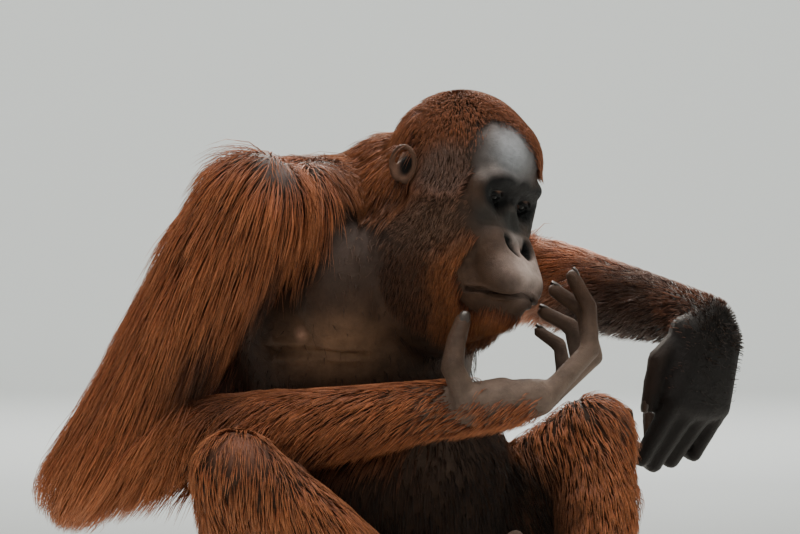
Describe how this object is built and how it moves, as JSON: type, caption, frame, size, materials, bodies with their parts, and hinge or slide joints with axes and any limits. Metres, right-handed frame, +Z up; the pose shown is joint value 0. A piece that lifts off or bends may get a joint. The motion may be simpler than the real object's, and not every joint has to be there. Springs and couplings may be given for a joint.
{
  "type": "sitting orangutan, still museum model",
  "caption": "Life-size still model of an adult orangutan sitting with its knees up, one hand cupped at its mouth and the other hanging from an outstretched arm.",
  "frame": {"origin": "on the floor, under the middle of the hips, on the flat that the animal sits on", "axes": "+Z up, -Y the way the body faces, +X to the animal's left"},
  "size_m": [0.8958, 0.6814, 0.679],
  "materials": {
    "coat": "long rust-red hair, dull, over dark skin",
    "dark_skin": "bare grey-brown creased skin, satin",
    "eye": "dark brown, wet gloss"
  },
  "bodies": {
    "root": {"head": "coat", "neck": "coat", "trunk": "coat", "ear_right": "dark_skin", "ear_left": "dark_skin", "eye_right": "eye", "eye_left": "eye", "upper_arm_right": "coat", "upper_arm_left": "coat", "forearm_right": "coat", "forearm_left": "coat", "hand_right": "dark_skin", "hand_left": "dark_skin", "thumb_right": "dark_skin", "index_right": "dark_skin", "middle_right": "dark_skin", "ring_right": "dark_skin", "little_right": "dark_skin", "thumb_left": "dark_skin", "index_left": "dark_skin", "middle_left": "dark_skin", "ring_left": "dark_skin", "little_left": "dark_skin", "thigh_right": "coat", "thigh_left": "coat", "shin_right": "coat", "shin_left": "coat", "foot_right": "dark_skin", "foot_left": "dark_skin", "big_toe_right": "dark_skin", "toe_two_right": "dark_skin", "toe_three_right": "dark_skin", "toe_four_right": "dark_skin", "toe_five_right": "dark_skin", "big_toe_left": "dark_skin", "toe_two_left": "dark_skin", "toe_three_left": "dark_skin", "toe_four_left": "dark_skin", "toe_five_left": "dark_skin"}
  },
  "joints": []
}
